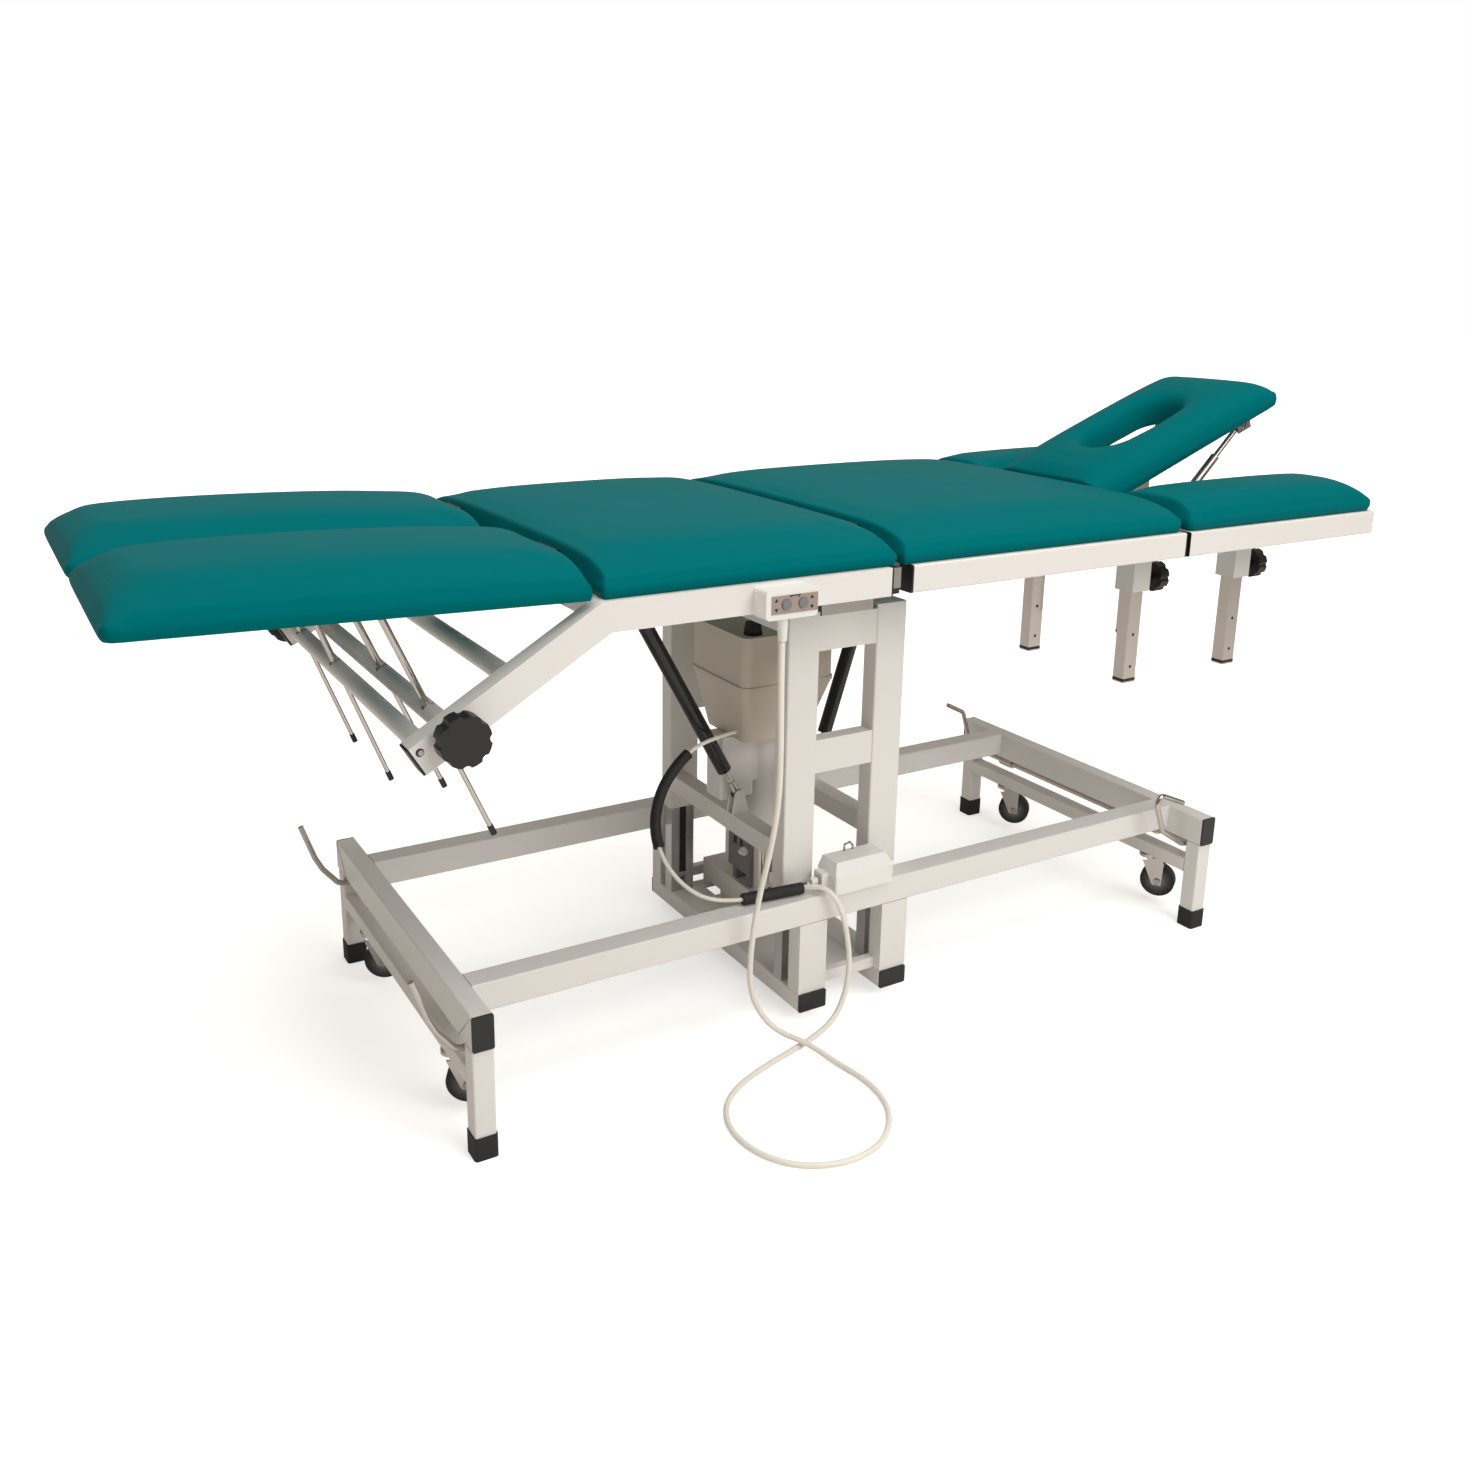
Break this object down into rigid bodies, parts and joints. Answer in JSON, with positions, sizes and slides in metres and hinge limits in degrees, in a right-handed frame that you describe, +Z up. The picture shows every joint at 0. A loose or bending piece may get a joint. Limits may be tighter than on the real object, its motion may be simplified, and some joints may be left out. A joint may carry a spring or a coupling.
{
  "type": "treatment couch",
  "caption": "Powered treatment couch with tilting seat, back and head sections, split leg pads, drop arm rests, face slot and castors that swing down from a steel frame",
  "frame": {"origin": "on the floor, under the middle of the couch", "axes": "+X runs from the leg end to the head end, -Y is the near side with the hand switch, +Z is up"},
  "size_m": [2.072, 0.939, 0.952],
  "materials": {
    "beige_plastic": "moulded, satin",
    "black_plastic": "moulded, matt",
    "black_rubber": "matt",
    "black_steel": "gloss black",
    "chrome_steel": "bright plated",
    "cream_cord": "flexible sheath",
    "grey_plastic": "moulded, matt",
    "grey_steel": "satin",
    "guide_aluminium": "extruded, brushed",
    "pale_plastic": "moulded, satin",
    "teal_vinyl": "coated fabric, soft sheen",
    "white_paint": "powder coat, satin"
  },
  "bodies": {
    "base": {"base_frame": "white_paint", "rubber_boots": "black_rubber", "base_end_caps": "black_plastic", "guide_rails": "guide_aluminium", "piston": "chrome_steel", "control_unit": "grey_plastic", "junction_box": "pale_plastic", "cord_sleeve": "black_rubber", "hand_switch_cord": "cream_cord", "cord_loop": "cream_cord"},
    "carriage": {"lift_carriage": "white_paint", "hinge_pedestals": "grey_steel", "actuator_housing": "beige_plastic", "actuator_column": "white_paint"},
    "seat": {"seat_frame": "white_paint", "seat_cushion": "teal_vinyl", "seat_frame_caps": "black_plastic", "hand_switch": "pale_plastic"},
    "back": {"back_frame": "white_paint", "back_cushion": "teal_vinyl", "back_frame_caps": "black_plastic", "head_carrier": "white_paint"},
    "head": {"head_cushion": "teal_vinyl", "head_bracket": "grey_steel"},
    "ratchet_sleeves": {"head_ratchet_sleeves": "grey_steel"},
    "ratchet_rods": {"head_ratchet_rods": "grey_steel"},
    "seat_spring_rod": {"seat_spring_rod": "chrome_steel"},
    "seat_spring_cylinder": {"seat_spring_cylinder": "black_steel"},
    "back_spring_rod": {"back_spring_rod": "chrome_steel"},
    "back_spring_cylinder": {"back_spring_cylinder": "black_steel"},
    "button_up": {"button_up": "grey_plastic"},
    "button_down": {"button_down": "grey_plastic"},
    "leg_near": {"leg_cushion_near": "teal_vinyl", "leg_bracket_near": "grey_steel"},
    "leg_struts_near": {"leg_struts_near": "chrome_steel"},
    "leg_clamp_knob_near": {"leg_clamp_knob_near": "black_plastic"},
    "arm_rest_near": {"arm_rest_near": "white_paint", "arm_pad_near": "teal_vinyl"},
    "arm_knob_near_inner": {"arm_knob_near_inner": "black_plastic"},
    "arm_knob_near_outer": {"arm_knob_near_outer": "black_plastic"},
    "leg_far": {"leg_cushion_far": "teal_vinyl", "leg_bracket_far": "grey_steel"},
    "leg_struts_far": {"leg_struts_far": "chrome_steel"},
    "leg_clamp_knob_far": {"leg_clamp_knob_far": "black_plastic"},
    "arm_rest_far": {"arm_rest_far": "white_paint", "arm_pad_far": "teal_vinyl"},
    "arm_knob_far_inner": {"arm_knob_far_inner": "black_plastic"},
    "arm_knob_far_outer": {"arm_knob_far_outer": "black_plastic"},
    "castor_bar_foot": {"castor_bar_foot": "white_paint"},
    "pedals_foot": {"pedals_foot": "chrome_steel"},
    "castor_fork_foot_near": {"castor_fork_foot_near": "chrome_steel"},
    "castor_wheel_foot_near": {"castor_wheel_foot_near": "black_rubber"},
    "castor_fork_foot_far": {"castor_fork_foot_far": "chrome_steel"},
    "castor_wheel_foot_far": {"castor_wheel_foot_far": "black_rubber"},
    "castor_bar_head": {"castor_bar_head": "white_paint"},
    "pedals_head": {"pedals_head": "chrome_steel"},
    "castor_fork_head_near": {"castor_fork_head_near": "chrome_steel"},
    "castor_wheel_head_near": {"castor_wheel_head_near": "black_rubber"},
    "castor_fork_head_far": {"castor_fork_head_far": "chrome_steel"},
    "castor_wheel_head_far": {"castor_wheel_head_far": "black_rubber"}
  },
  "joints": [
    {"name": "lift", "type": "slide", "parent": "base", "child": "carriage", "axis": [0, 0, 1], "range_m": [-0.11, 0.18], "deforming": ["hand_switch_cord", "cord_loop"]},
    {"name": "seat_tilt", "type": "hinge", "parent": "carriage", "child": "seat", "pos_m": [-0.013, 0, 0.775], "axis": [0, 1, 0], "range_deg": [0, 20]},
    {"name": "back_tilt", "type": "hinge", "parent": "carriage", "child": "back", "pos_m": [-0.013, 0, 0.775], "axis": [0, -1, 0], "range_deg": [0, 45]},
    {"name": "head_tilt", "type": "hinge", "parent": "back", "child": "head", "pos_m": [0.556, 0, 0.775], "axis": [0, -1, 0], "range_deg": [-7, 12]},
    {"name": "ratchet_swing", "type": "hinge", "parent": "back", "child": "ratchet_sleeves", "pos_m": [0.838, 0, 0.746], "axis": [0, -1, 0], "range_deg": [-14, 24]},
    {"name": "ratchet_reach", "type": "slide", "parent": "ratchet_sleeves", "child": "ratchet_rods", "axis": [0.7151, 0, 0.6991], "range_m": [-0.0292, 0.0486]},
    {"name": "seat_spring_swing", "type": "hinge", "parent": "carriage", "child": "seat_spring_rod", "pos_m": [-0.092, -0.037, 0.312], "axis": [0, 1, 0], "range_deg": [0, 6]},
    {"name": "seat_spring_stroke", "type": "slide", "parent": "seat_spring_rod", "child": "seat_spring_cylinder", "axis": [-0.4856, 0, 0.8742], "range_m": [0, 0.102]},
    {"name": "back_spring_swing", "type": "hinge", "parent": "carriage", "child": "back_spring_rod", "pos_m": [0.108, 0.03, 0.312], "axis": [0, -1, 0], "range_deg": [0, 7]},
    {"name": "back_spring_stroke", "type": "slide", "parent": "back_spring_rod", "child": "back_spring_cylinder", "axis": [0.3026, 0, 0.9531], "range_m": [0, 0.1937]},
    {"name": "leg_tilt_near", "type": "hinge", "parent": "seat", "child": "leg_near", "pos_m": [-0.474, -0.18, 0.775], "axis": [0, 1, 0], "range_deg": [0, 25]},
    {"name": "strut_swing_near", "type": "hinge", "parent": "leg_near", "child": "leg_struts_near", "pos_m": [-0.7217, -0.155, 0.73247], "axis": [0, -1, 0], "range_deg": [0, 15]},
    {"name": "leg_clamp_turn_near", "type": "hinge", "parent": "seat", "child": "leg_clamp_knob_near", "pos_m": [-0.66429, -0.353, 0.60061], "axis": [0, 1, 0], "range_deg": [0, 270]},
    {"name": "arm_rest_height_near", "type": "slide", "parent": "back", "child": "arm_rest_near", "axis": [0, 0, 1], "range_m": [-0.04, 0.025]},
    {"name": "arm_knob_turn_near_inner", "type": "hinge", "parent": "back", "child": "arm_knob_near_inner", "pos_m": [0.719, -0.123, 0.608], "axis": [1, 0, 0], "range_deg": [0, 270]},
    {"name": "arm_knob_turn_near_outer", "type": "hinge", "parent": "back", "child": "arm_knob_near_outer", "pos_m": [0.984, -0.123, 0.608], "axis": [1, 0, 0], "range_deg": [0, 270]},
    {"name": "leg_tilt_far", "type": "hinge", "parent": "seat", "child": "leg_far", "pos_m": [-0.474, 0.18, 0.775], "axis": [0, 1, 0], "range_deg": [0, 25]},
    {"name": "strut_swing_far", "type": "hinge", "parent": "leg_far", "child": "leg_struts_far", "pos_m": [-0.75359, 0.155, 0.7333], "axis": [0, -1, 0], "range_deg": [0, 16]},
    {"name": "leg_clamp_turn_far", "type": "hinge", "parent": "seat", "child": "leg_clamp_knob_far", "pos_m": [-0.69622, 0.353, 0.58173], "axis": [0, 1, 0], "range_deg": [0, 270]},
    {"name": "arm_rest_height_far", "type": "slide", "parent": "back", "child": "arm_rest_far", "axis": [0, 0, 1], "range_m": [-0.04, 0.025]},
    {"name": "arm_knob_turn_far_inner", "type": "hinge", "parent": "back", "child": "arm_knob_far_inner", "pos_m": [0.719, 0.123, 0.608], "axis": [1, 0, 0], "range_deg": [0, 270]},
    {"name": "arm_knob_turn_far_outer", "type": "hinge", "parent": "back", "child": "arm_knob_far_outer", "pos_m": [0.984, 0.123, 0.608], "axis": [1, 0, 0], "range_deg": [0, 270]},
    {"name": "castor_drop_foot", "type": "slide", "parent": "base", "child": "castor_bar_foot", "axis": [0, 0, -1], "range_m": [0, 0.019]},
    {"name": "pedal_turn_foot", "type": "hinge", "parent": "base", "child": "pedals_foot", "pos_m": [-0.637, 0, 0.15], "axis": [0, -1, 0], "range_deg": [0, 26]},
    {"name": "castor_swivel_foot_near", "type": "hinge", "parent": "castor_bar_foot", "child": "castor_fork_foot_near", "pos_m": [-0.637, -0.195, 0.09], "axis": [0, 0, 1], "continuous": true},
    {"name": "castor_roll_foot_near", "type": "hinge", "parent": "castor_fork_foot_near", "child": "castor_wheel_foot_near", "pos_m": [-0.61918, -0.20408, 0.05], "axis": [0.454, 0.891, 0], "continuous": true},
    {"name": "castor_swivel_foot_far", "type": "hinge", "parent": "castor_bar_foot", "child": "castor_fork_foot_far", "pos_m": [-0.637, 0.195, 0.09], "axis": [0, 0, 1], "continuous": true},
    {"name": "castor_roll_foot_far", "type": "hinge", "parent": "castor_fork_foot_far", "child": "castor_wheel_foot_far", "pos_m": [-0.61918, 0.18592, 0.05], "axis": [0.454, 0.891, 0], "continuous": true},
    {"name": "castor_drop_head", "type": "slide", "parent": "base", "child": "castor_bar_head", "axis": [0, 0, -1], "range_m": [0, 0.019]},
    {"name": "pedal_turn_head", "type": "hinge", "parent": "base", "child": "pedals_head", "pos_m": [0.711, 0, 0.15], "axis": [0, -1, 0], "range_deg": [0, 26]},
    {"name": "castor_swivel_head_near", "type": "hinge", "parent": "castor_bar_head", "child": "castor_fork_head_near", "pos_m": [0.711, -0.195, 0.09], "axis": [0, 0, 1], "continuous": true},
    {"name": "castor_roll_head_near", "type": "hinge", "parent": "castor_fork_head_near", "child": "castor_wheel_head_near", "pos_m": [0.72189, -0.21177, 0.05], "axis": [0.8387, 0.5446, 0], "continuous": true},
    {"name": "castor_swivel_head_far", "type": "hinge", "parent": "castor_bar_head", "child": "castor_fork_head_far", "pos_m": [0.711, 0.195, 0.09], "axis": [0, 0, 1], "continuous": true},
    {"name": "castor_roll_head_far", "type": "hinge", "parent": "castor_fork_head_far", "child": "castor_wheel_head_far", "pos_m": [0.72386, 0.17968, 0.05], "axis": [0.766, 0.6428, 0], "continuous": true},
    {"name": "button_press_up", "type": "slide", "parent": "seat", "child": "button_up", "axis": [0, 1, 0], "range_m": [0, 0.0015], "stiffness_N_per_m": 300, "springref_m": -0.001},
    {"name": "button_press_down", "type": "slide", "parent": "seat", "child": "button_down", "axis": [0, 1, 0], "range_m": [0, 0.0015], "stiffness_N_per_m": 300, "springref_m": -0.001}
  ],
  "couplings": [
    {"joint": "ratchet_swing", "follows": "head_tilt", "ratio": 1.8532},
    {"joint": "ratchet_reach", "follows": "head_tilt", "m_per_rad": 0.22247},
    {"joint": "seat_spring_swing", "follows": "seat_tilt", "ratio": 0.20879},
    {"joint": "seat_spring_stroke", "follows": "seat_tilt", "m_per_rad": 0.28355},
    {"joint": "back_spring_swing", "follows": "back_tilt", "ratio": 0.13073},
    {"joint": "back_spring_stroke", "follows": "back_tilt", "m_per_rad": 0.24284},
    {"joint": "strut_swing_near", "follows": "leg_tilt_near", "ratio": 0.55221},
    {"joint": "strut_swing_far", "follows": "leg_tilt_far", "ratio": 0.58106},
    {"joint": "pedal_turn_foot", "follows": "castor_drop_foot", "rad_per_m": 22.965},
    {"joint": "pedal_turn_head", "follows": "castor_drop_head", "rad_per_m": 22.965}
  ]
}
